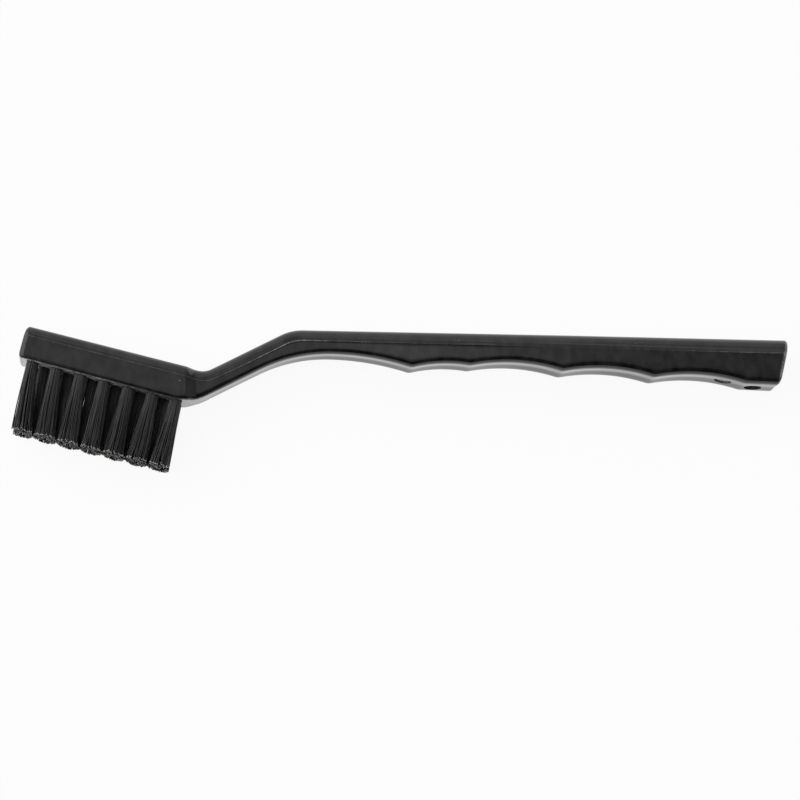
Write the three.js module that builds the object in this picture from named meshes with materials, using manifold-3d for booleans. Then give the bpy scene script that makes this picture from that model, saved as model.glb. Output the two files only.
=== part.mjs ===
// Anti-static hand brush: a one-piece moulded handle with a tilted head, and tufts of bristle that are
// folded over flat wire anchors in blind holes. Millimetres and degrees. The brush lies on its side:
// +X runs towards the handle end, +Y towards the back, away from the bristles, and +Z across the width.
import * as THREE from 'three';
import { mergeVertices } from 'three/addons/utils/BufferGeometryUtils.js';
import Module from 'manifold-3d';

const wasm = await Module();
wasm.setup();

// Head
const HEAD_LENGTH = 40.9; // along the back, from the toe to the valley before the neck
const HEAD_WIDTH = 11;
const HEAD_TILT = 13.3; // the back drops from the toe to the valley
const TOE_DEPTH = 7.6; // back to bristle face at the toe
const HEEL_DEPTH = 8.2; // back to bristle face at the valley
const VALLEY_RADIUS = 4.4; // bend of the back between head and neck
const HEEL_RADIUS = 11; // bend of the underside between head and neck

// Neck
const NECK_LENGTH = 21.7; // along the back, from the valley to the crown
const NECK_RISE = 27.6;
const NECK_DEPTH = 5.15;
const NECK_WIDTH = 8.2;
const SHOULDER_SETBACK = 3.4; // from the valley towards the toe, where the neck starts
const SHOULDER_LENGTH = 2; // rounded step from the head's width to the neck's
const CROWN_RADIUS = 10.6; // bend of the back between neck and grip
const ARCH_RADIUS = 34; // bend of the underside between neck and grip

// Grip
const GRIP_LENGTH = 113.8; // along the back, from the crown to the end
const GRIP_WIDTH = 11;
const TAPER_LENGTH = 63; // from the crown to where the grip has its full width
const ARCH_DEPTH = 5.55; // the thinnest place, under the crown
const FIRST_RIDGE_DISTANCE = 27.2; // from the crown
const FIRST_RIDGE_DEPTH = 8.3;
const FORE_SCOOP_WIDTH = 13.3; // short hollow between the first two ridges
const FORE_SCOOP_RADIUS = 32;
const SECOND_RIDGE_DEPTH = 7.6;
const FINGER_SCOOPS = 3;
const FINGER_RADIUS = 42;
const END_PAD_LENGTH = 10.4; // flat pad after the last ridge
const END_DEPTH = 10.5;
const END_SLANT = 13; // the end face leans inwards towards the underside

// Edges of the moulding
const BACK_ROUND_TOE = 2.2; // rounding of the back's edges, down to the parting line
const BACK_ROUND_END = 3.5;
const EDGE_RADIUS = 1; // edges of the underside
const END_RADIUS = 1; // edges of the toe and of the handle end

// Ejector pin marks in the underside near the end
const MARK_DIAMETER = 4;
const MARK_END_DISTANCE = 7.7; // outer mark to the handle end
const MARK_SPACING = 7.2;
const INNER_MARK_DEPTH = 0.2;
const OUTER_MARK_DEPTH = 0.8;
const OUTER_MARK_OFFSET = 1.1; // off the middle of the width

// Tufts, in two outer rows with a staggered row of one tuft less between them
const TUFTS_PER_ROW = 7;
const TOE_MARGIN = 3.3; // toe to the first hole's centre
const HEEL_MARGIN = 3.1; // last hole's centre to the heel
const SIDE_MARGIN = 2.3; // outer holes' centres to the head's side
const HOLE_DEPTH = 4.2;
const TUFT_DIAMETER = 2.4; // at the root
const TUFT_LEAN = 2.5; // bristles lean towards the handle
const TRIM_HEIGHT = 23.7; // head's back to the trimmed bristle tips
const TIP_GAP = 0.5; // between the spread tips of neighbouring tufts
const TIP_INSET = 0.8; // the end tufts' tips stand closer to the middle than their roots
const STRAND_DIAMETER = 0.46;
const FIT_GAP = 0.3; // round every piece that sits in another

// Flat wire anchors
const ANCHOR_HEIGHT = 1.5;
const ANCHOR_THICKNESS = 0.4;
const ANCHOR_BITE = 0.3; // each end reaches past the hole's wall
const FOLD_THICKNESS = 0.6; // bristle that passes over the anchor at the hole's bottom

// Fineness of the round stretches
const BEND_STEPS = 6;
const STATION_GAP = 0.15; // stations closer than this are one
const END_STEPS = 3;
const ROUND_STEPS = 5;
const EDGE_STEPS = 2;
const MARK_SIDES = 24;
const HOLE_SIDES = 12;
const STRAND_SIDES = 3;
const STRAND_RINGS = 2;
const RING_STRANDS = 6; // in the first ring, and twice that in the second

const radians = THREE.MathUtils.degToRad;
const point = (x, y) => new THREE.Vector2(x, y);
const along = (degrees) => point(Math.cos(radians(degrees)), Math.sin(radians(degrees)));

// A line through corner points with an arc at each inner corner, as a height over x.
function bentLine(points, radii) {
  const arcs = radii.map((radius, i) => {
    const [before, corner, after] = points.slice(i, i + 3);
    const into = corner.clone().sub(before).normalize();
    const out = after.clone().sub(corner).normalize();
    const turn = Math.atan2(into.cross(out), into.dot(out));
    const reach = radius * Math.tan(Math.abs(turn) / 2);
    const start = corner.clone().addScaledVector(into, -reach);
    const end = corner.clone().addScaledVector(out, reach);
    const side = Math.sign(turn);
    const centre = start.clone().addScaledVector(point(-into.y, into.x), side * radius);
    return { start, end, centre, side, radius };
  });
  const joints = [points[0], ...arcs.flatMap(({ start, end }) => [start, end]), points.at(-1)];
  const yAt = (x) => {
    const run = Math.max(0, joints.slice(0, -1).findLastIndex((joint) => joint.x <= x));
    if (run % 2 === 1) {
      const { centre, side, radius } = arcs[(run - 1) / 2];
      return centre.y - side * Math.sqrt(radius ** 2 - (x - centre.x) ** 2);
    }
    const [from, to] = joints.slice(run, run + 2);
    return THREE.MathUtils.mapLinear(x, from.x, to.x, from.y, to.y);
  };
  return { joints, yAt };
}

// A hollow between two ridges of the underside, as an arc round a finger below it.
function scoop(from, to, radius) {
  const chord = to.clone().sub(from);
  const drop = Math.sqrt(radius ** 2 - chord.lengthSq() / 4);
  const below = point(chord.y, -chord.x).normalize();
  const centre = from.clone().add(to).divideScalar(2).addScaledVector(below, drop);
  return { from, to, yAt: (x) => centre.y + Math.sqrt(radius ** 2 - (x - centre.x) ** 2) };
}

// A value that runs straight between knots of x and value.
function between(knots, x) {
  const last = knots.length - 2;
  const i = THREE.MathUtils.clamp(knots.findLastIndex((knot) => knot.x <= x), 0, last);
  return THREE.MathUtils.mapLinear(x, knots[i].x, knots[i + 1].x, knots[i].y, knots[i + 1].y);
}

// Side view of the handle, with the crown's corner at the origin
const headDirection = along(-HEAD_TILT);
const headDown = along(-HEAD_TILT - 90);
const neckDirection = along(NECK_RISE);
const neckDown = along(NECK_RISE - 90);
const crown = point(0, 0);
const valley = crown.clone().addScaledVector(neckDirection, -NECK_LENGTH);
const toe = valley.clone().addScaledVector(headDirection, -HEAD_LENGTH);
const end = point(GRIP_LENGTH, 0);
const back = bentLine([toe, valley, crown, end], [VALLEY_RADIUS, CROWN_RADIUS]);

// Where two lines, each through a point in a direction, cross
function crossing(a, aDirection, b, bDirection) {
  const reach = b.clone().sub(a).cross(bDirection) / aDirection.cross(bDirection);
  return a.clone().addScaledVector(aDirection, reach);
}

const toeFoot = toe.clone().addScaledVector(headDown, TOE_DEPTH);
const faceDirection = valley.clone().addScaledVector(headDown, HEEL_DEPTH).sub(toeFoot).normalize();
const neckFoot = crown.clone().addScaledVector(neckDown, NECK_DEPTH);
const heel = crossing(toeFoot, faceDirection, neckFoot, neckDirection);
const archCorner = crossing(neckFoot, neckDirection, point(0, -ARCH_DEPTH), along(0));

// Ridges of the underside: the first, then those round each finger, deeper towards the end
const firstRidge = point(FIRST_RIDGE_DISTANCE, -FIRST_RIDGE_DEPTH);
const secondRidge = point(FIRST_RIDGE_DISTANCE + FORE_SCOOP_WIDTH, -SECOND_RIDGE_DEPTH);
const lastRidge = point(GRIP_LENGTH - END_PAD_LENGTH, -END_DEPTH);
const fingerRidges = Array.from({ length: FINGER_SCOOPS + 1 }, (_, i) =>
  secondRidge.clone().lerp(lastRidge, i / FINGER_SCOOPS),
);

const bend = bentLine(
  [toeFoot, heel, archCorner, point(firstRidge.x, -ARCH_DEPTH)],
  [HEEL_RADIUS, ARCH_RADIUS],
);
const arch = bend.joints.at(-2);
const swell = firstRidge.clone().sub(arch);
const swellRadius = swell.lengthSq() / (2 * Math.abs(swell.y));
const padEnd = point(end.x, -END_DEPTH);
const underside = [
  { from: toeFoot, to: arch, yAt: bend.yAt },
  scoop(arch, firstRidge, swellRadius),
  scoop(firstRidge, secondRidge, FORE_SCOOP_RADIUS),
  ...fingerRidges.slice(1).map((ridge, i) => scoop(fingerRidges[i], ridge, FINGER_RADIUS)),
  { from: lastRidge, to: padEnd, yAt: () => -END_DEPTH },
];

function undersideAt(x) {
  const span = underside.find(({ to }) => x <= to.x) ?? underside.at(-1);
  return span.yAt(x);
}

// Across: the head is wider than the neck, and the grip widens again towards the end
const shoulderX = valley.x - SHOULDER_SETBACK;
const shoulderStart = shoulderX - SHOULDER_LENGTH;

function widthAt(x) {
  if (x < shoulderX) {
    const round = Math.sqrt(1 - Math.max(0, (x - shoulderStart) / SHOULDER_LENGTH) ** 2);
    return THREE.MathUtils.lerp(NECK_WIDTH, HEAD_WIDTH, round);
  }
  const grown = THREE.MathUtils.clamp((x - shoulderX) / (TAPER_LENGTH - shoulderX), 0, 1);
  return THREE.MathUtils.lerp(NECK_WIDTH, GRIP_WIDTH, grown);
}

// How far a section's foot stands ahead of its top: square to the head and the neck, slanted at the end
const footLead = [
  point(toe.x, toeFoot.x - toe.x),
  point(shoulderX, 0),
  point((valley.x + crown.x) / 2, NECK_DEPTH * neckDown.x),
  point(arch.x, 0),
  point(lastRidge.x, 0),
  point(end.x, -END_DEPTH * Math.tan(radians(END_SLANT))),
];
const backRounds = [point(toe.x, BACK_ROUND_TOE), point(end.x, BACK_ROUND_END)];

function quarterArc(z, y, radius, quarter, steps) {
  return Array.from({ length: steps + 1 }, (_, i) => {
    const angle = (quarter + i / steps) * (Math.PI / 2);
    return point(z + radius * Math.cos(angle), y + radius * Math.sin(angle));
  });
}

// One section of the handle: flat sides, a back with large roundings and an underside with small ones
function section(x, inset) {
  const footX = x + between(footLead, x);
  const top = point(x, back.yAt(x));
  const foot = point(footX, undersideAt(footX));
  const rise = top.clone().sub(foot);
  const height = rise.length() - 2 * inset;
  const half = widthAt(x) / 2 - inset;
  const round = Math.min(between(backRounds, x), half - EDGE_RADIUS, height / 2);
  rise.normalize();
  const outline = [
    ...quarterArc(half - round, height - round, round, 0, ROUND_STEPS),
    ...quarterArc(round - half, height - round, round, 1, ROUND_STEPS),
    ...quarterArc(EDGE_RADIUS - half, EDGE_RADIUS, EDGE_RADIUS, 2, EDGE_STEPS),
    ...quarterArc(half - EDGE_RADIUS, EDGE_RADIUS, EDGE_RADIUS, 3, EDGE_STEPS),
  ];
  return outline.map(({ x: z, y: up }) => {
    const place = foot.clone().addScaledVector(rise, up + inset);
    return new THREE.Vector3(place.x, place.y, z);
  });
}

const spread = (from, to) =>
  Array.from({ length: BEND_STEPS + 1 }, (_, i) => THREE.MathUtils.lerp(from, to, i / BEND_STEPS));

// Stations along the back: both rounded ends, and steps along every round stretch between them
function stations() {
  const shoulder = spread(0, Math.PI / 2).map((angle) => shoulderStart + SHOULDER_LENGTH * Math.sin(angle));
  const [valleyStart, valleyEnd, crownStart, crownEnd] = back.joints.slice(1, -1).map(({ x }) => x);
  const [heelStart, heelEnd, archStart, archEnd] = bend.joints.slice(1, -1).map(({ x }) => x);
  const footBends = [...spread(heelStart, heelEnd), ...spread(archStart, archEnd)];
  const body = [
    toe.x + END_RADIUS,
    ...shoulder,
    ...spread(valleyStart, valleyEnd),
    ...spread(crownStart, crownEnd),
    ...footBends.map((x) => x - between(footLead, x)),
    ...underside.slice(1, -1).flatMap(({ from, to }) => spread(from.x, to.x)),
    TAPER_LENGTH,
    end.x - END_RADIUS,
  ].sort((a, b) => a - b);
  const apart = body.filter((x, i) => i === 0 || x - body[i - 1] > STATION_GAP);
  const rounding = Array.from({ length: END_STEPS }, (_, i) => {
    const angle = (i / END_STEPS) * (Math.PI / 2);
    return { reach: END_RADIUS * (1 - Math.cos(angle)), inset: END_RADIUS * (1 - Math.sin(angle)) };
  });
  return [
    ...rounding.map(({ reach, inset }) => ({ x: toe.x + reach, inset })),
    ...apart.map((x) => ({ x, inset: 0 })),
    ...rounding.map(({ reach, inset }) => ({ x: end.x - reach, inset })).reverse(),
  ];
}

// A closed skin over a row of rings that all have the same number of points
function loft(rings) {
  const size = rings[0].length;
  const index = [];
  for (let ring = 0; ring < rings.length - 1; ring += 1) {
    for (let i = 0; i < size; i += 1) {
      const here = ring * size + i;
      const next = ring * size + ((i + 1) % size);
      index.push(here, here + size, next + size, here, next + size, next);
    }
  }
  const last = (rings.length - 1) * size;
  for (let i = 1; i < size - 1; i += 1) {
    index.push(0, i, i + 1, last, last + i + 1, last + i);
  }
  return new THREE.BufferGeometry().setFromPoints(rings.flat()).setIndex(index);
}

function solid(geometry, matrix = new THREE.Matrix4()) {
  const bare = geometry.clone().applyMatrix4(matrix);
  bare.deleteAttribute('normal');
  bare.deleteAttribute('uv');
  const merged = mergeVertices(bare);
  return new wasm.Manifold(
    new wasm.Mesh({
      numProp: 3,
      vertProperties: merged.attributes.position.array,
      triVerts: Uint32Array.from(merged.index.array),
    }),
  );
}

function geometryOf(body) {
  const { vertProperties, triVerts } = body.getMesh();
  const geometry = new THREE.BufferGeometry();
  geometry.setAttribute('position', new THREE.BufferAttribute(vertProperties, 3));
  geometry.setIndex(new THREE.BufferAttribute(triVerts, 1));
  return geometry;
}

function piece(name, geometry, material) {
  const mesh = new THREE.Mesh(geometry, material.clone());
  mesh.name = name;
  return mesh;
}

// Tuft places in the head's own frame: x from the toe along the back, y square to it
const holeDiameter = TUFT_DIAMETER + 2 * FIT_GAP;
const heelReach = heel.clone().sub(toe).dot(headDirection);
const rowSpan = heelReach - TOE_MARGIN - HEEL_MARGIN;
const tuftPitch = rowSpan / (TUFTS_PER_ROW - 1);
const tipPitch = (rowSpan - 2 * TIP_INSET) / (TUFTS_PER_ROW - 1);
const rowPitch = HEAD_WIDTH / 2 - SIDE_MARGIN;
const rows = [
  { name: 'left_row', side: 1, shift: 0, count: TUFTS_PER_ROW },
  { name: 'middle_row', side: 0, shift: 0.5, count: TUFTS_PER_ROW - 1 },
  { name: 'right_row', side: -1, shift: 0, count: TUFTS_PER_ROW },
];

const head = new THREE.Group();
head.position.set(toe.x, toe.y, 0);
head.rotation.z = -radians(HEAD_TILT);

const tufts = rows.flatMap(({ name, side, shift, count }) =>
  Array.from({ length: count }, (_, i) => {
    const step = i + shift;
    const reach = TOE_MARGIN + step * tuftPitch;
    const gather = (step - (TUFTS_PER_ROW - 1) / 2) * (tipPitch - tuftPitch);
    const depth = THREE.MathUtils.lerp(TOE_DEPTH, HEEL_DEPTH, reach / HEAD_LENGTH);
    const place = new THREE.Group();
    place.position.set(reach, -depth, side * rowPitch);
    place.rotation.z = radians(TUFT_LEAN);
    head.add(place);
    return { row: name, number: i + 1, place, gather, freeLength: TRIM_HEIGHT - depth };
  }),
);
head.updateMatrixWorld(true);

// One bristle strand hangs from inside the root to the trim plane, which is parallel to the head's back
function strand(rootX, rootZ, tipX, tipZ, freeLength) {
  const lean = radians(TUFT_LEAN);
  const ring = (x, z, yAt) =>
    Array.from({ length: STRAND_SIDES }, (_, i) => {
      const angle = (i / STRAND_SIDES) * 2 * Math.PI;
      const cornerX = x + (STRAND_DIAMETER / 2) * Math.cos(angle);
      return new THREE.Vector3(cornerX, yAt(cornerX), z + (STRAND_DIAMETER / 2) * Math.sin(angle));
    });
  const root = ring(rootX, rootZ, () => FIT_GAP);
  const tip = ring(tipX, tipZ, (x) => -(freeLength + x * Math.sin(lean)) / Math.cos(lean));
  return loft([tip, root]);
}

// Strand places in a unit circle: one in the middle and rings round it
function strandPlaces() {
  const places = [point(0, 0)];
  for (let ring = 1; ring <= STRAND_RINGS; ring += 1) {
    const count = ring * RING_STRANDS;
    for (let i = 0; i < count; i += 1) {
      places.push(along((i * 360) / count).multiplyScalar(ring / STRAND_RINGS));
    }
  }
  return places;
}

const anchorLength = holeDiameter + 2 * ANCHOR_BITE;
const plugHeight = HOLE_DEPTH - FIT_GAP;
const anchorY = plugHeight - FOLD_THICKNESS - FIT_GAP - ANCHOR_HEIGHT / 2;

function anchorBlock(allowance) {
  const [long, high, thick] = [anchorLength, ANCHOR_HEIGHT, ANCHOR_THICKNESS];
  const block = new THREE.BoxGeometry(long + 2 * allowance, high + 2 * allowance, thick + 2 * allowance);
  return block.translate(0, anchorY, 0);
}

// A tuft: strands that spread from a root plug, which is folded round the anchor at the hole's bottom
function tuft(gather, freeLength) {
  const plug = new THREE.CylinderGeometry(TUFT_DIAMETER / 2, TUFT_DIAMETER / 2, plugHeight, HOLE_SIDES);
  let body = solid(plug.translate(0, plugHeight / 2, 0)).subtract(solid(anchorBlock(FIT_GAP)));
  const rootRadius = (TUFT_DIAMETER - STRAND_DIAMETER) / 2;
  const tipLong = (tipPitch - TIP_GAP - STRAND_DIAMETER) / 2;
  const tipWide = (rowPitch - TIP_GAP - STRAND_DIAMETER) / 2;
  for (const { x, y: z } of strandPlaces()) {
    const tipX = gather + x * tipLong;
    body = body.add(solid(strand(x * rootRadius, z * rootRadius, tipX, z * tipWide, freeLength)));
  }
  return geometryOf(body);
}

// The handle, with a hole and an anchor's seat for each tuft and two ejector pin marks
function handle() {
  let body = solid(loft(stations().map(({ x, inset }) => section(x, inset))));
  const bore = new THREE.CylinderGeometry(holeDiameter / 2, holeDiameter / 2, 2 * HOLE_DEPTH, HOLE_SIDES);
  for (const { place } of tufts) {
    body = body.subtract(solid(bore, place.matrixWorld));
    body = body.subtract(solid(anchorBlock(FIT_GAP), place.matrixWorld));
  }
  const marks = [
    { x: end.x - MARK_END_DISTANCE, z: -OUTER_MARK_OFFSET, depth: OUTER_MARK_DEPTH },
    { x: end.x - MARK_END_DISTANCE - MARK_SPACING, z: 0, depth: INNER_MARK_DEPTH },
  ];
  for (const { x, z, depth } of marks) {
    const [ahead, behind] = [MARK_DIAMETER / 2, -MARK_DIAMETER / 2].map((step) => undersideAt(x + step));
    const pin = new THREE.CylinderGeometry(MARK_DIAMETER / 2, MARK_DIAMETER / 2, 2 * depth, MARK_SIDES);
    pin.rotateZ(Math.atan2(ahead - behind, MARK_DIAMETER));
    body = body.subtract(solid(pin.translate(x, undersideAt(x), z)));
  }
  return geometryOf(body);
}

// Conductive moulded plastic, conductive bristle filament and flat steel wire
const plastic = new THREE.MeshStandardMaterial({ color: 0x2c2c2d, roughness: 0.42, metalness: 0 });
const filament = new THREE.MeshStandardMaterial({ color: 0x1d1d1e, roughness: 0.5, metalness: 0 });
const wire = new THREE.MeshStandardMaterial({ color: 0xb4b3ad, roughness: 0.35, metalness: 1 });

const brush = new THREE.Group();
brush.add(head, piece('handle', handle(), plastic));
for (const { row, number, place, gather, freeLength } of tufts) {
  place.add(piece(`${row}_tuft_${number}`, tuft(gather, freeLength), filament));
  place.add(piece(`${row}_anchor_${number}`, anchorBlock(0), wire));
}

// The origin is under the middle of the brush, on the surface that its side lies on
const box = new THREE.Box3().setFromObject(brush, true);
const middle = box.getCenter(new THREE.Vector3());
brush.position.set(-middle.x, -middle.y, -box.min.z);

export default brush;
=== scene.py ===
import math
import random

import bmesh
import bpy
from mathutils import Matrix, Vector, noise


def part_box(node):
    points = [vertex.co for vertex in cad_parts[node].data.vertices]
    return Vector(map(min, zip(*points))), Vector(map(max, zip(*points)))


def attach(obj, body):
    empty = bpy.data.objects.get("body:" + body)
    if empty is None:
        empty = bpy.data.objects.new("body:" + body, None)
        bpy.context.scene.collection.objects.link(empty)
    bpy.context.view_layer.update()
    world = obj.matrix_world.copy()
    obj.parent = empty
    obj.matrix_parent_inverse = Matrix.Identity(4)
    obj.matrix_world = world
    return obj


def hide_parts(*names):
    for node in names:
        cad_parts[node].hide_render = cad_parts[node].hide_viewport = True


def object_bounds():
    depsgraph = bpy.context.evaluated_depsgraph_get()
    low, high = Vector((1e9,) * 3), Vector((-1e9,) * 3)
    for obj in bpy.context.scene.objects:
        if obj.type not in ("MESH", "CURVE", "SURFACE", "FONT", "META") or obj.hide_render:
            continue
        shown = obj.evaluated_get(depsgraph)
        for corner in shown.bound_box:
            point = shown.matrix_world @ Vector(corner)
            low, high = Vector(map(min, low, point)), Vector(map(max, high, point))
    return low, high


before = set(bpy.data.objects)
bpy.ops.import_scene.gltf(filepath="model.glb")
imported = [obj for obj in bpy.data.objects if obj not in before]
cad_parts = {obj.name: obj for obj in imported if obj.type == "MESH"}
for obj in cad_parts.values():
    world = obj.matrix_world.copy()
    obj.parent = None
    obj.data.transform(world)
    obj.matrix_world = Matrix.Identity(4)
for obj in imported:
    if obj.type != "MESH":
        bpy.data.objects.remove(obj)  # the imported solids, which stay where they are
cadLow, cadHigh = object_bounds()
mm = 0.001
print("frame loaded with", len(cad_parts), "nodes")


def linear(code):  # an sRGB hex code as the linear colour that a shader takes
    parts = [int(code[i:i + 2], 16) / 255 for i in (1, 3, 5)]
    return [c / 12.92 if c <= 0.04045 else ((c + 0.055) / 1.055) ** 2.4 for c in parts] + [1]


def addNode(tree, kind, values=(), links=()):  # sockets go by name or number, other settings by name
    node = tree.nodes.new(kind)
    sockets = {s.name: s for s in reversed(node.inputs)}
    for key, value in dict(values).items():
        if isinstance(key, int):
            node.inputs[key].default_value = value
        elif key in sockets:
            sockets[key].default_value = value
        else:
            setattr(node, key, value)
    for key, source in dict(links).items():
        tree.links.new(source, node.inputs[key] if isinstance(key, int) else sockets[key])
    return node


def newMaterial(name):
    material = bpy.data.materials.new(name)
    material.use_nodes = True
    material.node_tree.nodes.clear()
    return material, material.node_tree


def perMillimetre(size):  # a texture's scale for features of that many millimetres
    return 1 / (size * mm)


rangeEnds = ("From Min", "From Max", "To Min", "To Max")  # they take a value from one range to another
noiseSpan = (0.3, 0.7)  # nearly all values of a noise texture lie between these


# Carbon-filled polypropylene, injection moulded: near black and smooth, so that it is a mirror at flat
# angles, a little cloudy where the melt flowed, and scuffed pale where the flash along the parting line
# was trimmed. The same pale colour paints highlights along that lip and along the bristle face's edge,
# and painted light on the floors of the ejector marks.
plasticLook = {
    "black": "#0e0e0f",
    "cloud": "#232324",
    "paleColour": "#e0e0de",
    "ior": 1.5,
    "roughness": (0.05, 0.11),
    "cloudSize": 2.2,  # drawn out a little across the brush, the way the melt flowed
    "cloudStretch": 1.5,
    "cloudEdge": (0.35, 0.65),
    "grainSize": 0.35,  # the mould's own grain is finer, and is drawn this coarse so that it shows
    "grainHeight": 0.003,
    "grainStrength": 0.6,
    "fleckSize": 0.8,  # the pale marks, scuffs and painted highlights alike, break up into flecks
    "fleckEdge": (0.4, 0.7),
    "fleckLeast": 0.3,  # how much of a pale mark is left between its flecks
    "speckSpacing": 4,  # specks of dust
    "speckSize": 0.16,
    "speckPaleness": 0.35,
}


def mouldedPolypropylene():
    look = plasticLook
    material, tree = newMaterial("moulded_carbon_filled_polypropylene")
    place = addNode(tree, "ShaderNodeTexCoord").outputs["Object"]
    flow = addNode(
        tree, "ShaderNodeMapping", {"Scale": (1, 1 / look["cloudStretch"], 1)}, {"Vector": place}
    )
    cloud = addNode(
        tree, "ShaderNodeTexNoise", {"Scale": perMillimetre(look["cloudSize"]), "Detail": 4},
        {"Vector": flow.outputs[0]},
    )
    cloudy = addNode(
        tree, "ShaderNodeMapRange", zip(rangeEnds, (*look["cloudEdge"], 0, 1)),
        {"Value": cloud.outputs["Fac"]},
    )
    body = addNode(
        tree, "ShaderNodeMix",
        {"data_type": "RGBA", 6: linear(look["black"]), 7: linear(look["cloud"])},
        {0: cloudy.outputs[0]},
    )
    fleck = addNode(
        tree, "ShaderNodeTexNoise", {"Scale": perMillimetre(look["fleckSize"]), "Detail": 3},
        {"Vector": place},
    )
    broken = addNode(
        tree, "ShaderNodeMapRange", zip(rangeEnds, (*look["fleckEdge"], look["fleckLeast"], 1)),
        {"Value": fleck.outputs["Fac"]},
    )
    # and along the bristle face's edge, and painted light on the floors of the ejector marks
    # pale amount per point: scuffs and dulled pin marks, with painted highlights on the parting line's lip
    paleAmount = addNode(tree, "ShaderNodeAttribute", {"attribute_name": "paleWearAndHighlight"})
    paleMask = addNode(
        tree, "ShaderNodeMath", {"operation": "MULTIPLY"}, {0: paleAmount.outputs["Fac"], 1: broken.outputs[0]}
    )
    speck = addNode(
        tree, "ShaderNodeTexVoronoi", {"Scale": perMillimetre(look["speckSpacing"])}, {"Vector": place}
    )
    speckEdge = look["speckSize"] / look["speckSpacing"]
    dusty = addNode(
        tree, "ShaderNodeMapRange", zip(rangeEnds, (speckEdge / 2, speckEdge, look["speckPaleness"], 0)),
        {"Value": speck.outputs["Distance"]},
    )
    pale = addNode(
        tree, "ShaderNodeMath", {"operation": "MAXIMUM"}, {0: paleMask.outputs[0], 1: dusty.outputs[0]}
    )
    colour = addNode(
        tree, "ShaderNodeMix", {"data_type": "RGBA", 7: linear(look["paleColour"])},
        {0: pale.outputs[0], 6: body.outputs[2]},
    )
    grain = addNode(
        tree, "ShaderNodeTexNoise", {"Scale": perMillimetre(look["grainSize"]), "Detail": 3},
        {"Vector": place},
    )
    rough = addNode(
        tree, "ShaderNodeMapRange", zip(rangeEnds, (*noiseSpan, *look["roughness"])),
        {"Value": grain.outputs["Fac"]},
    )
    bump = addNode(
        tree, "ShaderNodeBump",
        {"Strength": look["grainStrength"], "Distance": look["grainHeight"] * mm},
        {"Height": grain.outputs["Fac"]},
    )
    shader = addNode(
        tree, "ShaderNodeBsdfPrincipled", {"IOR": look["ior"]},
        {"Base Color": colour.outputs[2], "Roughness": rough.outputs[0], "Normal": bump.outputs[0]},
    )
    addNode(tree, "ShaderNodeOutputMaterial", links={"Surface": shader.outputs[0]})
    return material


# Conductive nylon monofilament, drawn and cut: satin black along the strand, each strand a shade of its
# own, with a paler end where the trimming blade tore it, which is partly a painted reflection off the cut
# ends. The strands' shades also carry a painted highlight on each tuft's rim and painted shade on the
# middle row.
filamentLook = {
    "dark": "#0a0a0b",
    "light": "#363637",
    "cutEnd": "#e2e2e0",
    "ior": 1.53,
    "roughness": (0.34, 0.5),
    "streakSize": 0.5,  # the sheen varies over this length
    "fadeReach": 0.8,  # a strand's own shade fades from its root, and is down to the least here
    "fadeLeast": 0.2,
    "cutLength": 0.016,  # share of the strand that is pale
}


def drawnNylon():
    look = filamentLook
    material, tree = newMaterial("drawn_conductive_nylon")
    place = addNode(tree, "ShaderNodeTexCoord").outputs["Object"]
    shade = addNode(tree, "ShaderNodeAttribute", {"attribute_name": "strandShade"})
    reach = addNode(tree, "ShaderNodeAttribute", {"attribute_name": "strandReach"})
    cutPale = addNode(tree, "ShaderNodeAttribute", {"attribute_name": "strandCutPale"})
    fade = addNode(
        tree, "ShaderNodeMapRange", zip(rangeEnds, (0, look["fadeReach"], 1, look["fadeLeast"])),
        {"Value": reach.outputs["Fac"]},
    )
    faded = addNode(
        tree, "ShaderNodeMath", {"operation": "MULTIPLY"}, {0: shade.outputs["Fac"], 1: fade.outputs[0]}
    )
    body = addNode(
        tree, "ShaderNodeMix",
        {"data_type": "RGBA", 6: linear(look["dark"]), 7: linear(look["light"])},
        {0: faded.outputs[0]},
    )
    cut = addNode(
        tree, "ShaderNodeMapRange", zip(rangeEnds, (1 - look["cutLength"], 1, 0, 1)),
        {"Value": reach.outputs["Fac"]},
    )
    # pale tips: torn nylon, and a painted reflection off the cut ends
    paleTip = addNode(
        tree, "ShaderNodeMath", {"operation": "MULTIPLY"}, {0: cut.outputs[0], 1: cutPale.outputs["Fac"]}
    )
    colour = addNode(
        tree, "ShaderNodeMix", {"data_type": "RGBA", 7: linear(look["cutEnd"])},
        {0: paleTip.outputs[0], 6: body.outputs[2]},
    )
    streak = addNode(
        tree, "ShaderNodeTexNoise", {"Scale": perMillimetre(look["streakSize"]), "Detail": 3},
        {"Vector": place},
    )
    rough = addNode(
        tree, "ShaderNodeMapRange", zip(rangeEnds, (*noiseSpan, *look["roughness"])),
        {"Value": streak.outputs["Fac"]},
    )
    shader = addNode(
        tree, "ShaderNodeBsdfPrincipled", {"IOR": look["ior"]},
        {"Base Color": colour.outputs[2], "Roughness": rough.outputs[0]},
    )
    addNode(tree, "ShaderNodeOutputMaterial", links={"Surface": shader.outputs[0]})
    return material


# Cold-rolled steel wire: bright metal with fine rolling lines along its length.
wireLook = {
    "bright": "#b9b8b2",
    "dull": "#94938e",
    "roughness": (0.28, 0.42),
    "lineSize": 0.12,
    "lineStretch": 10,
}


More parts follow.
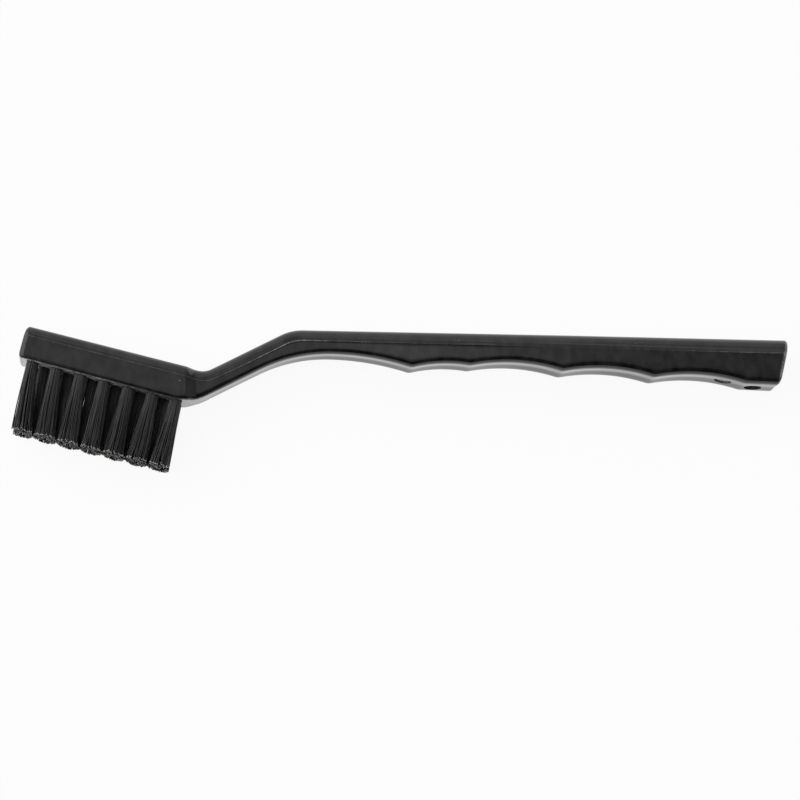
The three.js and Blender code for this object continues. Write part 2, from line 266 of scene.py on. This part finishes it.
def rolledSteel():
    look = wireLook
    material, tree = newMaterial("cold_rolled_steel_wire")
    place = addNode(tree, "ShaderNodeTexCoord").outputs["Object"]
    drawn = addNode(
        tree, "ShaderNodeMapping", {"Scale": (1 / look["lineStretch"], 1, 1)}, {"Vector": place}
    )
    lines = addNode(
        tree, "ShaderNodeTexNoise", {"Scale": perMillimetre(look["lineSize"]), "Detail": 2},
        {"Vector": drawn.outputs[0]},
    )
    colour = addNode(
        tree, "ShaderNodeMix",
        {"data_type": "RGBA", 6: linear(look["dull"]), 7: linear(look["bright"])},
        {0: lines.outputs["Fac"]},
    )
    rough = addNode(
        tree, "ShaderNodeMapRange", zip(rangeEnds, (*noiseSpan, *look["roughness"])),
        {"Value": lines.outputs["Fac"]},
    )
    shader = addNode(
        tree, "ShaderNodeBsdfPrincipled", {"Metallic": 1},
        {"Base Color": colour.outputs[2], "Roughness": rough.outputs[0]},
    )
    addNode(tree, "ShaderNodeOutputMaterial", links={"Surface": shader.outputs[0]})
    return material


# Sizes of the handle in millimetres and degrees, as the solid has them, and the finer ones that only show
# here. A list gives a value at places along the brush, counted from the crown towards the handle end.
handleShape = {
    "headLength": 40.9, "headWidth": 11, "headTilt": 13.3, "toeDepth": 7.6, "heelDepth": 8.2,
    "valleyRadius": 4.4, "heelRadius": 11,
    "neckLength": 21.7, "neckRise": 27.6, "neckDepth": 5.15, "neckWidth": 8.2,
    "shoulderSetback": 3.4, "shoulderLead": 1.05, "shoulderLength": 2.4,
    "crownRadius": 10.6, "archRadius": 34,
    "gripLength": 113.8, "gripWidth": 11, "taperLength": 63, "archDepth": 5.55,
    "firstRidge": (27.2, -8.3), "foreScoopWidth": 13.3, "foreScoopRadius": 32, "secondRidgeDepth": 7.6,
    "fingerScoops": 3, "fingerRadius": 42,
    "endPadLength": 10.4, "endDepth": 10.5, "endFall": 0.025, "endSlant": 13,
    "backRoundToe": 2.2, "backRoundEnd": 3.5, "endRadius": 1,
    "flatLeast": 0.2,  # half the width of the back's flat strip, where the roundings nearly meet
    # Oval edges of the underside
    "edgeHeights": [(-60, 0.8), (-26, 0.8), (-20, 1.25), (-12, 0.9), (20, 1), (70, 1.3), (114, 1.3)],
    "edgeWidths": [(-60, 0.8), (-26, 0.8), (-20, 0.9), (-15, 1.35), (20, 1.6), (70, 1.9), (114, 1.9)],
    "ridgeBlend": 0.6,  # each ridge of the underside is rounded over this far to each side
    "ridgeKept": 0.5,  # and this share of its height above that stretch is left
    # Flash that stands out along the parting line, and how pale its crest is: scuffed where it was
    # trimmed, and a painted highlight along the lip's edge
    "lip": [
        (-60, 0.02), (-14, 0.02), (-4, 0.07), (30, 0.07), (42, 0.1), (50, 0.05), (58, 0.01), (90, 0.01),
        (114, 0.03),
    ],
    "trim": [
        (-60, 0.17), (-24, 0.13), (-12, 0.22), (-4, 0.7), (5, 0.7), (9, 0.06), (13, 0.1), (16, 0.27),
        (19, 0.1), (60, 0.03), (84, 0.08), (100, 0.28), (114, 0.35),
    ],
    "lipRoom": 0.04,  # the sides stand back by this much, so that the lip stays in the width
    "lipRise": 0.2,
    "lipFall": 0.25,
    "lipFoot": 0.25,  # share of the lip that is left halfway down its fall
    "flashLevel": 0.8,  # the flash comes and goes about this level
    "flashSwing": 0.4,
    "flashSpacing": 5,
    "flashSeed": (0.5, 2.5),
    "sink": [  # hollow along the underside, deepest ahead of each ridge where the section is thick
        (-60, 0), (-22, 0), (-17, 0.05), (-12, 0.05), (-5, 0.05), (0, 0.1), (8, 0.16), (20, 0.19),
        (28, 0.14), (36, 0.18), (41, 0.15), (48, 0.18), (56, 0.24), (62, 0.16), (69, 0.2), (77, 0.25),
        (83, 0.17), (89, 0.19), (100, 0.16), (106, 0.14), (114, 0.14),
    ],
    "facePaleness": [  # bristle face whitened as the tufts were driven in, and a painted highlight along its edge
        (-60, 0.9), (-55, 1.5), (-44, 1.5), (-34, 0.7), (-27, 0.4), (-22, 0.6), (-17, 0), (114, 0),
    ],
    "endWear": 0.42,
    "rimShare": 0.6,  # the handle end is scuffed over this share of its rounding
    "creaseAngle": 38,  # edges sharper than this stay sharp
    # How finely the skin is divided
    "stationStep": 0.5, "shoulderSteps": 20, "shoulderClear": 0.1, "endSteps": 7,
    "flatSteps": 4, "roundSteps": 12, "flankSteps": 6, "edgeSteps": 10, "hollowSteps": 14,
}
# Marks that the ejector pins left in the underside, their floors dulled by the pins and painted pale,
# which is partly painted light reaching into the recesses
handleMarks = {
    "diameter": 4, "endDistance": 7.7, "spacing": 7.2,
    "innerDepth": 0.37, "outerDepth": 1, "outerOffset": 1.1,
    "dull": 0.35,
    "dullReach": 0.503,  # in diameters from the middle of the floor, just past its rim
    "sides": 64,
}
# Blind holes, which lean towards the handle end with their tufts
tuftHoles = {"diameter": 2.75, "depth": 4.2, "lean": 2.5, "sides": 40}


def heading(degrees):
    return Vector((math.cos(math.radians(degrees)), math.sin(math.radians(degrees))))


def bentLine(corners, radii):  # straight runs with an arc at each inner corner, as a height over x
    arcs = []
    for i, radius in enumerate(radii):
        before, corner, after = corners[i:i + 3]
        into, out = (corner - before).normalized(), (after - corner).normalized()
        turn = math.atan2(into.x * out.y - into.y * out.x, into.dot(out))
        reach, side = radius * math.tan(abs(turn) / 2), math.copysign(1, turn)
        start, end = corner - into * reach, corner + out * reach
        arcs.append((start, end, start + Vector((-into.y, into.x)) * side * radius, side, radius))
    joints = [corners[0]] + [p for arc in arcs for p in arc[:2]] + [corners[-1]]

    def heightAt(x):
        run = max([0] + [i for i in range(len(joints) - 1) if joints[i].x <= x])
        if run % 2:
            centre, side, radius = arcs[run // 2][2:]
            return centre.y - side * math.sqrt(max(radius ** 2 - (x - centre.x) ** 2, 0))
        a, b = joints[run], joints[run + 1]
        return a.y + (b.y - a.y) * (x - a.x) / (b.x - a.x)

    return joints, heightAt


def scoop(start, end, radius):  # a hollow round a finger below it
    chord = end - start
    drop = math.sqrt(radius ** 2 - chord.length_squared / 4)
    centre = (start + end) / 2 + Vector((chord.y, -chord.x)).normalized() * drop
    return end.x, lambda x: centre.y + math.sqrt(radius ** 2 - (x - centre.x) ** 2)


def crossing(a, aWay, b, bWay):
    gap = b - a
    return a + aWay * ((gap.x * bWay.y - gap.y * bWay.x) / (aWay.x * bWay.y - aWay.y * bWay.x))


def between(knots, x):  # a value that runs straight from knot to knot
    i = max([0] + [k for k in range(len(knots) - 1) if knots[k][0] <= x])
    (x0, y0), (x1, y1) = knots[i], knots[i + 1]
    return y0 + (y1 - y0) * (x - x0) / (x1 - x0)


class HandleProfile:  # side view of the handle, with the crown's corner at the origin
    def __init__(self, shape):
        self.shape = shape
        headDown, neckDown = heading(-shape["headTilt"] - 90), heading(shape["neckRise"] - 90)
        neckWay = heading(shape["neckRise"])
        crown = Vector((0, 0))
        valley = crown - neckWay * shape["neckLength"]
        self.toe = valley - heading(-shape["headTilt"]) * shape["headLength"]
        self.end = Vector((shape["gripLength"], 0))
        backRadii = [shape["valleyRadius"], shape["crownRadius"]]
        self.backAt = bentLine([self.toe, valley, crown, self.end], backRadii)[1]

        # The underside, from the toe over the heel and the arch to the ridges and the end pad
        toeFoot = self.toe + headDown * shape["toeDepth"]
        neckFoot = neckDown * shape["neckDepth"]
        face = valley + headDown * shape["heelDepth"] - toeFoot
        heel = crossing(toeFoot, face, neckFoot, neckWay)
        archCorner = crossing(neckFoot, neckWay, Vector((0, -shape["archDepth"])), heading(0))
        first = Vector(shape["firstRidge"])
        second = Vector((first.x + shape["foreScoopWidth"], -shape["secondRidgeDepth"]))
        last = Vector((shape["gripLength"] - shape["endPadLength"], -shape["endDepth"]))
        fingers = [second.lerp(last, i / shape["fingerScoops"]) for i in range(shape["fingerScoops"] + 1)]
        joints, bend = bentLine(
            [toeFoot, heel, archCorner, Vector((first.x, -shape["archDepth"]))],
            [shape["heelRadius"], shape["archRadius"]],
        )
        arch = joints[-2]
        swell = first - arch
        self.spans = [
            (arch.x, bend),
            scoop(arch, first, swell.length_squared / (2 * abs(swell.y))),
            scoop(first, second, shape["foreScoopRadius"]),
            *[scoop(a, b, shape["fingerRadius"]) for a, b in zip(fingers, fingers[1:])],
            (math.inf, lambda x: -shape["endDepth"] - shape["endFall"] * (x - last.x)),
        ]
        self.ridges = [first, *fingers]
        self.shoulderX = valley.x - shape["shoulderSetback"]
        self.footLead = [  # how far each section's foot is ahead of its top
            (self.toe.x, toeFoot.x - self.toe.x),
            (self.shoulderX, 0),
            ((valley.x + crown.x) / 2, shape["neckDepth"] * neckDown.x),
            (arch.x, 0),
            (last.x, 0),
            (self.end.x, -shape["endDepth"] * math.tan(math.radians(shape["endSlant"]))),
        ]
        self.backRounds = [(self.toe.x, shape["backRoundToe"]), (self.end.x, shape["backRoundEnd"])]

    def rawUndersideAt(self, x):
        return next(height(x) for limit, height in self.spans if x <= limit)

    def undersideAt(self, x):  # with each ridge rounded
        blend, kept = self.shape["ridgeBlend"], self.shape["ridgeKept"]
        for ridge in self.ridges:
            off = abs(x - ridge.x) / blend
            if off < 1:
                ends = [self.rawUndersideAt(ridge.x + side * blend) for side in (-1, 1)]
                chord = ends[0] + (ends[1] - ends[0]) * (x - ridge.x + blend) / (2 * blend)
                return chord + (self.rawUndersideAt(ridge.x) - sum(ends) / 2) * kept * (1 - off ** 2)
        return self.rawUndersideAt(x)

    def widthAt(self, x):
        shape = self.shape
        taper = min(1, max(0, (x - self.shoulderX) / (shape["taperLength"] - self.shoulderX)))
        past = min(1, max(0, (x - self.shoulderX + shape["shoulderLead"]) / shape["shoulderLength"]))
        step = (shape["headWidth"] - shape["neckWidth"]) * (1 + math.cos(math.pi * past)) / 2
        return shape["neckWidth"] + (shape["gripWidth"] - shape["neckWidth"]) * taper + step

    def halfOutline(self, x, inset, height):  # from the back's middle to the underside's, with the paleness
        shape = self.shape
        half = self.widthAt(x) / 2 - inset
        edge, edgeIn = between(shape["edgeHeights"], x), between(shape["edgeWidths"], x)
        rounding = min(between(self.backRounds, x), half - edge, height / 2)
        wave = noise.noise((x / shape["flashSpacing"], *shape["flashSeed"]))
        comes = shape["flashLevel"] + shape["flashSwing"] * wave
        lip, trim = (between(shape[key], x) * comes for key in ("lip", "trim"))
        flank = half - shape["lipRoom"]
        flat = max(shape["flatLeast"], flank - rounding)
        outline = [(flat * i / shape["flatSteps"], height, 0) for i in range(shape["flatSteps"])]
        line = height - rounding  # the parting line, where the rounding meets the side
        for i in range(shape["roundSteps"]):
            a = math.pi / 2 * i / shape["roundSteps"]
            outline.append((flat + (flank - flat) * math.sin(a), line + rounding * math.cos(a), 0))
        crest = line - shape["lipRise"]
        low = crest - shape["lipFall"]
        # the lip's crest is painted pale: the trimmed scuff, and a painted highlight on its edge
        outline += [(flank, line, 0), (flank + lip, crest, trim)]
        outline += [(flank + shape["lipFoot"] * lip, (low + crest) / 2, 0), (flank, low, 0)]
        steps = shape["flankSteps"]
        outline += [(flank, low + (edge - low) * i / steps, 0) for i in range(1, steps)]
        # bristle face and lower half of its edge rounding painted pale: whitening and a painted highlight
        paleAmount = between(shape["facePaleness"], x)
        for i in range(shape["edgeSteps"] + 1):
            share = i / shape["edgeSteps"]
            a = math.pi / 2 * share
            z, up = flank - edgeIn + edgeIn * math.cos(a), edge - edge * math.sin(a)
            outline.append((z, up, paleAmount * max(0, 2 * share - 1)))
        sink = between(shape["sink"], x)
        for i in range(1, shape["hollowSteps"] + 1):
            out = 1 - i / shape["hollowSteps"]
            outline.append(((flank - edgeIn) * out, sink * (1 + math.cos(math.pi * out)) / 2, paleAmount))
        return outline

    def section(self, x, inset):  # a ring of the skin: points in millimetres, and how pale each is
        shape = self.shape
        footX = x + between(self.footLead, x)
        top, foot = Vector((x, self.backAt(x))), Vector((footX, self.undersideAt(footX)))
        rise = (top - foot).normalized()
        outline = self.halfOutline(x, inset, (top - foot).length - 2 * inset)
        if inset > 0:  # the rim of the handle end is scuffed, and the end faces are plain
            onRim = x > 0 and inset < shape["rimShare"] * shape["endRadius"]
            outline = [(z, up, shape["endWear"] if onRim else 0) for z, up, paleAmount in outline]
        ring = outline + [(-z, up, paleAmount) for z, up, paleAmount in reversed(outline[1:-1])]
        places = [foot + rise * (up + inset) for z, up, paleAmount in ring]
        return [(Vector((p.x, p.y, z)), paleAmount) for p, (z, up, paleAmount) in zip(places, ring)]

    def stations(self):  # places along the brush, and how far each ring is drawn in
        shape = self.shape
        first, last = self.toe.x + shape["endRadius"], self.end.x - shape["endRadius"]
        count = round((last - first) / shape["stationStep"])
        body = [first + (last - first) * i / count for i in range(count + 1)]
        start = self.shoulderX - shape["shoulderLead"]
        steps, clear = shape["shoulderSteps"], shape["shoulderClear"]
        shoulder = [start + shape["shoulderLength"] * i / steps for i in range(steps + 1)]
        body = sorted([x for x in body if not shoulder[0] - clear < x < shoulder[-1] + clear] + shoulder)
        rounds = []
        for i in range(shape["endSteps"]):
            a = math.pi / 2 * i / shape["endSteps"]
            rounds.append((shape["endRadius"] * (1 - math.cos(a)), shape["endRadius"] * (1 - math.sin(a))))
        toeRings = [(self.toe.x + reach, inset) for reach, inset in rounds]
        endRings = [(self.end.x - reach, inset) for reach, inset in reversed(rounds)]
        return toeRings + [(x, 0) for x in body] + endRings


def newObject(name, mesh, materials):
    piece = bpy.data.objects.new(name, mesh)
    bpy.context.scene.collection.objects.link(piece)
    for material in materials:
        mesh.materials.append(material)
    return piece


def meshOf(name, points, faces, values=None):  # values are named numbers on the points
    mesh = bpy.data.meshes.new(name)
    mesh.from_pydata(points, [], faces)
    for key, numbers in (values or {}).items():
        mesh.attributes.new(key, "FLOAT", "POINT").data.foreach_set("value", numbers)
    mesh.validate()
    return mesh


def drum(bore, depth, place, axis):  # a closed round cutter, half in and half out of the surface at place
    cutter = bmesh.new()
    radius = bore["diameter"] / 2 * mm
    bmesh.ops.create_cone(
        cutter, cap_ends=True, segments=bore["sides"], radius1=radius, radius2=radius, depth=2 * depth * mm,
        matrix=Matrix.Translation(place) @ axis.to_track_quat("Z", "X").to_matrix().to_4x4(),
    )
    mesh = bpy.data.meshes.new("cutter")
    cutter.to_mesh(mesh)
    cutter.free()
    return mesh


def cutFrom(piece, cutters):  # the piece's mesh with the cutters taken out of it
    tools = [newObject(f"cutter_{i}", cutter, []) for i, cutter in enumerate(cutters)]
    for tool in tools:
        cut = piece.modifiers.new("cut", "BOOLEAN")
        cut.operation, cut.solver, cut.object = "DIFFERENCE", "EXACT", tool
    result = bpy.data.meshes.new_from_object(piece.evaluated_get(bpy.context.evaluated_depsgraph_get()))
    piece.modifiers.clear()
    for tool in tools:
        bpy.data.objects.remove(tool)
    return result


profile = HandleProfile(handleShape)
headWay, headUp = heading(-handleShape["headTilt"]), heading(90 - handleShape["headTilt"])
tuftWay = heading(90 - handleShape["headTilt"] + tuftHoles["lean"])  # from the tip to the root
rowNames = ["left_row", "middle_row", "right_row"]
tuftNames = [n for row in rowNames for n in sorted(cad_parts) if n.startswith(row + "_tuft_")]


def middleOf(node):
    low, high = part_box(node)
    return (low + high) / 2


def rootOf(tuftName, shift):  # where the line through the tuft's anchor leaves the bristle face
    anchor = middleOf(tuftName.replace("tuft", "anchor"))
    here = Vector((anchor.x / mm - shift.x, anchor.y / mm - shift.y))
    toeFoot = profile.toe - headUp * handleShape["toeDepth"]
    drop = (handleShape["heelDepth"] - handleShape["toeDepth"]) / handleShape["headLength"]
    root = crossing(here, tuftWay, toeFoot, (headWay - headUp * drop).normalized())
    return Vector(((root.x + shift.x) * mm, (root.y + shift.y) * mm, anchor.z))


def skinMesh(rings, shift):  # the rings joined up, with a face across each end
    size, count = len(rings[0]), len(rings) * len(rings[0])
    points = [(p + shift) * mm for ring in rings for p, paleAmount in ring]
    paleAmounts = [paleAmount for ring in rings for p, paleAmount in ring]
    faces = [list(range(size)), list(range(count - 1, count - size - 1, -1))]
    for start in range(0, count - size, size):
        for i in range(size):
            j = (i + 1) % size
            faces.append((start + j, start + i, start + size + i, start + size + j))
    mesh = meshOf("handle_skin", points, faces, {"paleWearAndHighlight": paleAmounts})
    skin = bmesh.new()
    skin.from_mesh(mesh)
    bmesh.ops.recalc_face_normals(skin, faces=skin.faces)
    skin.to_mesh(mesh)
    skin.free()
    return mesh


def makeHandle(plastic):
    rings = [profile.section(x, inset) for x, inset in profile.stations()]
    own = [p for ring in rings for p, paleAmount in ring]
    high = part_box("handle")[1] / mm
    right, top = max(p.x for p in own), max(p.y for p in own)
    shift = Vector((high.x - right, high.y - top, middleOf("handle").z / mm))  # the profile into the frame
    handle = newObject("moulded_handle", skinMesh(rings, shift), [plastic])
    holeAxis = Vector((*tuftWay, 0))
    cutters = [drum(tuftHoles, tuftHoles["depth"], rootOf(name, shift), holeAxis) for name in tuftNames]
    marks = handleMarks
    outer = profile.end.x - marks["endDistance"]
    markPlaces = [
        (outer, -marks["outerOffset"], marks["outerDepth"]),
        (outer - marks["spacing"], 0, marks["innerDepth"]),
    ]
    floors = []
    for x, z, depth in markPlaces:
        ahead, behind = (profile.undersideAt(x + side * marks["diameter"] / 2) for side in (1, -1))
        axis = Vector((behind - ahead, marks["diameter"], 0)).normalized()
        place = (Vector((x, profile.undersideAt(x), z)) + shift) * mm
        cutters.append(drum(marks, depth, place, axis))
        floors.append(place + axis * depth * mm)
    mesh = cutFrom(handle, cutters)
    handle.data = mesh
    # mark floors painted pale: dulled by the pins, and painted light in the recesses
    dullReach = marks["dullReach"] * marks["diameter"] * mm
    for vertex, paleAmount in zip(mesh.vertices, mesh.attributes["paleWearAndHighlight"].data):
        if any((vertex.co - floor).length < dullReach for floor in floors):
            paleAmount.value = marks["dull"]
    mesh.shade_smooth()
    mesh.set_sharp_from_angle(angle=math.radians(handleShape["creaseAngle"]))
    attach(handle, "root")
    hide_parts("handle")
    return handle, shift


# Tufts in millimetres. A real one has about two hundred filaments, which are drawn fewer and thicker here
# so that each one shows.
tuftShape = {
    "rootRadius": 1.24,
    "strandDiameter": 0.21,
    "strands": 100,
    "rimStrands": 36,
    "rimBand": (0.93, 1),  # shares of the radius where the rim's strands stand
    "innerShare": 0.92,  # share of the radius that the others fill
    "rootInside": 1.1,  # strands start this deep in the hole
    "tipBand": 0.5,  # what is this close to the trim plane counts as the solid's tips
    "dome": 0.4,  # the rim of a tuft's tip stands back from its middle
    "uneven": 0.2,
    "stray": 0.1,
    "clump": 0.4,  # neighbouring strands lean together by up to this much
    "clumpScale": 1.7,
    "clumpSeed": 10,
    "flare": 1.7,  # above 1 the tuft runs straight out of its hole before it opens
    "bow": 0.25,
    "shade": 0.35,  # from dark at 0 to light at 1, and what clumps, single strands and the rim add
    "clumpShade": 0.5,
    "ownShade": 0.25,
    # painted highlight: rim strands are lighter, for the light that catches a tuft's edges
    "rimHighlight": 0.3,
    "sheltered": 0.05,  # painted shade: the middle row, in the outer rows' shadow, is this share as light
    "rimCutPale": (0.55, 1),  # how pale the cut ends are, partly torn nylon and partly a painted reflection
    "innerCutPale": (0.05, 0.35),
    "rings": 7,
    "sides": 6,
    "creaseAngle": 70,
    "seed": 7,
}


def addStrand(points, faces, centres, way):  # a closed tube along the centres
    sides, radius = tuftShape["sides"], tuftShape["strandDiameter"] / 2 * mm
    across = way.cross(Vector((0, 0, 1))).normalized()
    upright = way.cross(across)
    base = len(points)
    for centre in centres:
        for j in range(sides):
            turn = math.tau * j / sides
            points.append(centre + (across * math.cos(turn) + upright * math.sin(turn)) * radius)
    last = len(points) - sides
    for start in range(base, last, sides):
        for j in range(sides):
            a, b = start + j, start + (j + 1) % sides
            faces.append((a, b, b + sides, a + sides))
    faces.append(tuple(range(base + sides - 1, base - 1, -1)))
    faces.append(tuple(range(last, last + sides)))


def makeTuft(name, shift, filament, rng):
    shape = tuftShape
    root = rootOf(name, shift)
    axis, along, down = (Vector((*way, 0)) for way in (tuftWay, headWay, -headUp))
    solid = [v.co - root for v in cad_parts[name].data.vertices]
    trim = max(p.dot(down) for p in solid)  # the solid's tips lie on the trim plane
    tips = [p for p in solid if p.dot(down) > trim - shape["tipBand"] * mm]
    low, high = (f(p.dot(along) for p in tips) for f in (min, max))
    radius = shape["strandDiameter"] / 2 * mm
    tipMiddle, tipLong = (low + high) / 2, (high - low) / 2 - radius
    tipWide = max(p.z for p in tips) - radius
    goldenTurn = math.pi * (3 - math.sqrt(5))
    start = rng.random() * math.tau
    # painted shade on the middle row, which the outer rows shadow
    light = shape["sheltered"] if name.startswith("middle") else 1
    steps = [i / (shape["rings"] - 1) for i in range(shape["rings"])]
    points, faces, shades, reaches, cutPales = [], [], [], [], []
    for k in range(shape["strands"]):
        inner = k - shape["rimStrands"]
        onRim = inner < 0
        if onRim:
            r = rng.uniform(*shape["rimBand"])
        else:
            r = shape["innerShare"] * math.sqrt((inner + 0.5) / (shape["strands"] - shape["rimStrands"]))
        a = start + k * goldenTurn
        u, w = r * math.cos(a), r * math.sin(a)
        scale = shape["clumpScale"]
        clump = noise.noise_vector((scale * u, scale * w, shape["clumpSeed"] * start))
        near = root + axis * shape["rootInside"] * mm
        near = near + along * u * shape["rootRadius"] * mm + Vector((0, 0, w * shape["rootRadius"] * mm))
        strayU, strayW = ((rng.gauss(0, shape["stray"]) + shape["clump"] * clump[i]) * mm for i in (0, 1))
        tipU = min(max(tipMiddle + u * tipLong + strayU, low + radius), high - radius)
        tipW = min(max(w * tipWide + strayW, -tipWide), tipWide)
        cutBack = rng.gauss(0, shape["uneven"]) + shape["clump"] * clump[2]
        short = (shape["dome"] * r ** 2 + abs(cutBack)) * mm
        far = root + along * tipU + Vector((0, 0, tipW)) + down * (trim - short)
        bow = (along * rng.gauss(0, shape["bow"]) + Vector((0, 0, rng.gauss(0, shape["bow"])))) * mm
        shade = shape["shade"] + shape["clumpShade"] * clump[2]
        shade += rng.uniform(-shape["ownShade"], shape["ownShade"])
        # rim strands made lighter: a painted highlight on the tuft's edges
        shade = min(1, max(0, shade + (shape["rimHighlight"] if onRim else 0)))
        # cut end paler on the rim: torn nylon, and a painted reflection off the cut ends
        cutPale = rng.uniform(*shape["rimCutPale" if onRim else "innerCutPale"])
        onward = axis * (far - near).dot(axis)
        outward = far - near - onward
        centres = [
            near + onward * s + outward * s ** shape["flare"] + bow * (4 * s * (1 - s)) * s for s in steps
        ]
        addStrand(points, faces, centres, (far - near).normalized())
        reaches += [s for s in steps for j in range(shape["sides"])]
        shades += [shade * light] * (shape["rings"] * shape["sides"])
        cutPales += [cutPale] * (shape["rings"] * shape["sides"])
    looks = {"strandShade": shades, "strandReach": reaches, "strandCutPale": cutPales}
    mesh = meshOf(name + "_strands", points, faces, looks)
    mesh.shade_smooth()
    mesh.set_sharp_from_angle(angle=math.radians(shape["creaseAngle"]))
    tuft = newObject(name.replace("tuft", "bristles"), mesh, [filament])
    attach(tuft, "root")
    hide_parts(name)


handle, shift = makeHandle(mouldedPolypropylene())
print("handle made with", len(handle.data.polygons), "faces")

rng = random.Random(tuftShape["seed"])
noise.seed_set(tuftShape["seed"])  # Blender seeds its vector noise by the clock otherwise
nylon = drawnNylon()
for tuftName in tuftNames:
    makeTuft(tuftName, shift, nylon, rng)
print("tufts made:", len(tuftNames))

steel = rolledSteel()
for tuftName in tuftNames:
    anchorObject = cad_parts[tuftName.replace("tuft", "anchor")]
    anchorObject.data.materials.clear()
    anchorObject.data.materials.append(steel)
print("anchors finished")


# Matt white table: it paints itself white to the eye and to reflections, and still takes the brush's
# soft shadow
tableLook = {
    "white": "#f4f4f4",
    "selfWhite": {"Is Camera Ray": 0.93, "Is Glossy Ray": 0.95, "Is Transmission Ray": 0.93},
    "reach": 4,  # metres to each side
    "gap": 0.05,  # millimetres under the brush
}


def makeTable():
    look = tableLook
    material, tree = newMaterial("matt_white_table")
    paths = addNode(tree, "ShaderNodeLightPath").outputs
    share = None
    for path, part in look["selfWhite"].items():
        links = {0: paths[path]} if share is None else {0: paths[path], 2: share.outputs[0]}
        share = addNode(tree, "ShaderNodeMath", {"operation": "MULTIPLY_ADD", 1: part, 2: 0}, links)
    matt = addNode(tree, "ShaderNodeBsdfDiffuse", {"Color": linear(look["white"])})
    glow = addNode(tree, "ShaderNodeEmission", {"Color": linear("#ffffff"), "Strength": 1})
    mixed = addNode(
        tree, "ShaderNodeMixShader", links={0: share.outputs[0], 1: matt.outputs[0], 2: glow.outputs[0]}
    )
    addNode(tree, "ShaderNodeOutputMaterial", links={"Surface": mixed.outputs[0]})
    reach = look["reach"]
    corners = [(-reach, -reach), (reach, -reach), (reach, reach), (-reach, reach)]
    mesh = meshOf("table", [(x, y, cadLow.z - look["gap"] * mm) for x, y in corners], [(0, 1, 2, 3)])
    newObject("table", mesh, [material])


# A soft room with a bright wall behind the brush, dim on the bristle side, a broad lamp at each end,
# and fields of ceiling: pale over the brush, palest over the front of the grip, dimmer beyond both ends
lightRoom = {
    "wall": (-0.5, 0.8, 0.33), "dim": 0.03, "bright": 1, "edge": (0.15, 0.85),
    "fields": [  # light they add or take, degrees to their rim and core, the way to them
        (0.18, (9, 5), (0.03, 0.195, 0.98)),
        (0.45, (1.8, 0.6), (0.062, 0.196, 0.979)),
        (0.25, (8, 3), (0.1, 0.645, 0.757)),
        (-0.42, (17, 7), (-0.2, 0.62, 0.76)),
        (-0.4, (12, 6), (0.3, 0.65, 0.7)),
    ],
    "lamps": {  # watts, metres across, place in metres
        "head_lamp": (13, 1.8, (-0.85, 0.05, 0.6)),
        "handle_lamp": (2.8, 1.6, (0.85, 0.3, 0.55)),
    },
}


def makeLight():
    room = lightRoom
    world = bpy.data.worlds.new("soft_room")
    bpy.context.scene.world = world
    world.use_nodes = True
    tree = world.node_tree
    tree.nodes.clear()
    way = addNode(tree, "ShaderNodeTexCoord").outputs["Generated"]
    wall = Vector(room["wall"]).normalized()
    facing = addNode(tree, "ShaderNodeVectorMath", {"operation": "DOT_PRODUCT", 1: wall}, {0: way})
    level = addNode(
        tree, "ShaderNodeMapRange", zip(rangeEnds, (*room["edge"], room["dim"], room["bright"])),
        {"Value": facing.outputs["Value"]},
    )
    for strength, reaches, middle in room["fields"]:
        towards = Vector(middle).normalized()
        over = addNode(tree, "ShaderNodeVectorMath", {"operation": "DOT_PRODUCT", 1: towards}, {0: way})
        rim, core = (math.cos(math.radians(reach)) for reach in reaches)
        field = addNode(
            tree, "ShaderNodeMapRange", zip(rangeEnds, (rim, core, 0, strength)),
            {"Value": over.outputs["Value"]},
        )
        level = addNode(
            tree, "ShaderNodeMath", {"operation": "ADD"}, {0: level.outputs[0], 1: field.outputs[0]}
        )
    light = addNode(
        tree, "ShaderNodeBackground", {"Color": linear("#ffffff")}, {"Strength": level.outputs[0]}
    )
    addNode(tree, "ShaderNodeOutputWorld", links={"Surface": light.outputs[0]})
    for name, (power, size, place) in room["lamps"].items():
        lamp = bpy.data.lights.new(name, "AREA")
        lamp.energy, lamp.size = power, size
        holder = bpy.data.objects.new(name, lamp)
        holder.location = place
        holder.rotation_euler = (-Vector(place)).to_track_quat("-Z", "Y").to_euler()
        bpy.context.scene.collection.objects.link(holder)


# The photograph's view: nearly from above, tipped a little towards the bristles and the head
cameraView = {
    "lens": 129.58, "sensor": 36, "distance": 650,
    "towardsHead": 5.6, "towardsBristles": 10.7, "roll": 0.07,  # degrees
    "aim": (-0.97, 1.12, 5.5),  # the point of the frame that the middle of the picture shows
}


def makeCamera():
    view = cameraView
    a, e = math.radians(view["towardsHead"]), math.radians(view["towardsBristles"])
    back = Vector((-math.sin(a) * math.cos(e), -math.sin(e), math.cos(a) * math.cos(e)))
    right = Vector((0, 1, 0)).cross(back).normalized()
    turn = Matrix((right, back.cross(right), back)).transposed().to_4x4()
    turn = turn @ Matrix.Rotation(math.radians(view["roll"]), 4, "Z")
    camera = bpy.data.objects.new("camera", bpy.data.cameras.new("camera"))
    camera.data.lens, camera.data.sensor_width = view["lens"], view["sensor"]
    camera.matrix_world = Matrix.Translation((Vector(view["aim"]) + back * view["distance"]) * mm) @ turn
    bpy.context.scene.collection.objects.link(camera)
    bpy.context.scene.camera = camera


makeTable()
makeLight()
makeCamera()
bpy.context.scene.view_settings.view_transform = "Standard"
print("table, light and camera set")
